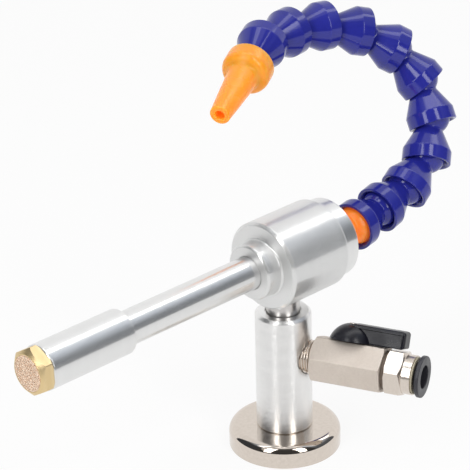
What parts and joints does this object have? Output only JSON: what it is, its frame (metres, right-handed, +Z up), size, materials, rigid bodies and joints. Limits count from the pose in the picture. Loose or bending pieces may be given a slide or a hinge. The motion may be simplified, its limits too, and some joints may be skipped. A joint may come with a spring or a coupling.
{
  "type": "vortex tube",
  "caption": "Cold-air vortex tube on a round magnet base, with a muffled hot tube, an inlet ball valve with a push-in fitting, and a bendable ball-socket hose ending in a nozzle.",
  "frame": {"origin": "middle of the magnet base's underside, on the column's axis", "axes": "+Z up along the column, +X along the vortex tube towards the cold end and its hose, so the hot tube points to -X and the inlet valve to the -Y side"},
  "size_m": [0.2151, 0.105, 0.1405],
  "materials": {
    "nickel_steel": "bright nickel plate",
    "magnet": "dull ceramic",
    "steel": "bright",
    "aluminium": "fine satin",
    "brass": "bright turned",
    "sintered_bronze": "granular",
    "nickel_brass": "bright nickel plate",
    "blue_plastic": "glossy",
    "orange_plastic": "glossy",
    "black_plastic": "glossy",
    "white_plastic": "matt",
    "brown_plastic": "matt",
    "grey_plastic": "satin",
    "olive_plastic": "satin",
    "fibre": "matt",
    "rubber": "matt"
  },
  "bodies": {
    "stand": {"magnet_cup": "nickel_steel", "ring_magnet": "magnet", "base_screw": "steel", "column": "aluminium", "generator_housing": "aluminium", "swirl_generator": "brown_plastic", "rear_cap": "aluminium", "cap_o_ring": "rubber", "hot_tube": "aluminium", "muffler_sleeve": "aluminium", "silencer_body": "brass", "silencer_disc": "sintered_bronze", "hose_adaptor": "orange_plastic", "valve_body": "nickel_brass", "valve_retainer": "brass", "seat_inner": "white_plastic", "seat_outer": "white_plastic", "stem_o_ring": "rubber", "fitting_washer": "fibre", "fitting_body": "nickel_brass", "tube_seal": "rubber", "lock_claw": "steel", "fitting_guide": "olive_plastic"},
    "hose_link_01": {"hose_link_01": "blue_plastic"},
    "hose_link_02": {"hose_link_02": "blue_plastic"},
    "hose_link_03": {"hose_link_03": "blue_plastic"},
    "hose_link_04": {"hose_link_04": "blue_plastic"},
    "hose_link_05": {"hose_link_05": "blue_plastic"},
    "hose_link_06": {"hose_link_06": "blue_plastic"},
    "hose_link_07": {"hose_link_07": "blue_plastic"},
    "hose_link_08": {"hose_link_08": "blue_plastic"},
    "hose_link_09": {"hose_link_09": "blue_plastic"},
    "hose_link_10": {"hose_link_10": "blue_plastic"},
    "hose_link_11": {"hose_link_11": "blue_plastic"},
    "nozzle": {"nozzle": "orange_plastic"},
    "lever_unit": {"lever": "black_plastic", "lever_screw": "steel", "valve_stem": "steel", "valve_ball": "steel"},
    "release_unit": {"release_ring": "grey_plastic"},
    "cone_unit": {"control_cone": "brass"}
  },
  "joints": [
    {"name": "hose_link_01_bend", "type": "hinge", "parent": "stand", "child": "hose_link_01", "pos_m": [0.038, 0, 0.0733], "axis": [0, -0.6928, 0.7211], "range_deg": [-36.1, 19.9]},
    {"name": "hose_link_02_bend", "type": "hinge", "parent": "hose_link_01", "child": "hose_link_02", "pos_m": [0.05265, 0.0015, 0.07474], "axis": [-0.1255, 0.9484, 0.2913], "range_deg": [-20.8, 35.2]},
    {"name": "hose_link_03_bend", "type": "hinge", "parent": "hose_link_02", "child": "hose_link_03", "pos_m": [0.06707, 0.00242, 0.07793], "axis": [0.0055, -0.9668, 0.2555], "range_deg": [-46.2, 9.8]},
    {"name": "hose_link_04_bend", "type": "hinge", "parent": "hose_link_03", "child": "hose_link_04", "pos_m": [0.07974, 0.00445, 0.08532], "axis": [0.1954, 0.8078, -0.5561], "range_deg": [-1.4, 54.6]},
    {"name": "hose_link_05_bend", "type": "hinge", "parent": "hose_link_04", "child": "hose_link_05", "pos_m": [0.08789, 0.01006, 0.09633], "axis": [-0.2335, -0.7856, 0.573], "range_deg": [-53.3, 2.7]},
    {"name": "hose_link_06_bend", "type": "hinge", "parent": "hose_link_05", "child": "hose_link_06", "pos_m": [0.09019, 0.01822, 0.10846], "axis": [0.18, 0.7999, -0.5725], "range_deg": [-0.6, 55.4]},
    {"name": "hose_link_07_bend", "type": "hinge", "parent": "hose_link_06", "child": "hose_link_07", "pos_m": [0.08562, 0.02708, 0.1194], "axis": [-0.2749, -0.8002, 0.5331], "range_deg": [-52.9, 3.1]},
    {"name": "hose_link_08_bend", "type": "hinge", "parent": "hose_link_07", "child": "hose_link_08", "pos_m": [0.07579, 0.03535, 0.12675], "axis": [0.2518, 0.7926, -0.5553], "range_deg": [-8.8, 47.2]},
    {"name": "hose_link_09_bend", "type": "hinge", "parent": "hose_link_08", "child": "hose_link_09", "pos_m": [0.06308, 0.04197, 0.13044], "axis": [-0.0576, -0.5682, 0.8209], "range_deg": [-48.4, 7.6]},
    {"name": "hose_link_10_bend", "type": "hinge", "parent": "hose_link_09", "child": "hose_link_10", "pos_m": [0.04855, 0.04463, 0.13126], "axis": [-0.0147, 0.2197, -0.9755], "range_deg": [-10.2, 45.8]},
    {"name": "hose_link_11_bend", "type": "hinge", "parent": "hose_link_10", "child": "hose_link_11", "pos_m": [0.03386, 0.04281, 0.13107], "axis": [0.0568, -0.5468, 0.8353], "range_deg": [-49.6, 6.4]},
    {"name": "nozzle_bend", "type": "hinge", "parent": "hose_link_11", "child": "nozzle", "pos_m": [0.0208, 0.03661, 0.1279], "axis": [-0.0418, 0.5537, -0.8316], "range_deg": [-27, 29]},
    {"name": "lever_turn", "type": "hinge", "parent": "stand", "child": "lever_unit", "pos_m": [0.00961, -0.02264, 0.0362], "axis": [-0.3744, -0.1589, -0.9135], "range_deg": [0, 90]},
    {"name": "release_push", "type": "slide", "parent": "stand", "child": "release_unit", "axis": [-0.3907, 0.9205, 0], "range_m": [0, 0.001], "stiffness_N_per_m": 400, "springref_m": -0.001},
    {"name": "cone_adjust", "type": "slide", "parent": "stand", "child": "cone_unit", "axis": [1, 0, 0], "range_m": [-0.0015, 0.0015]}
  ]
}
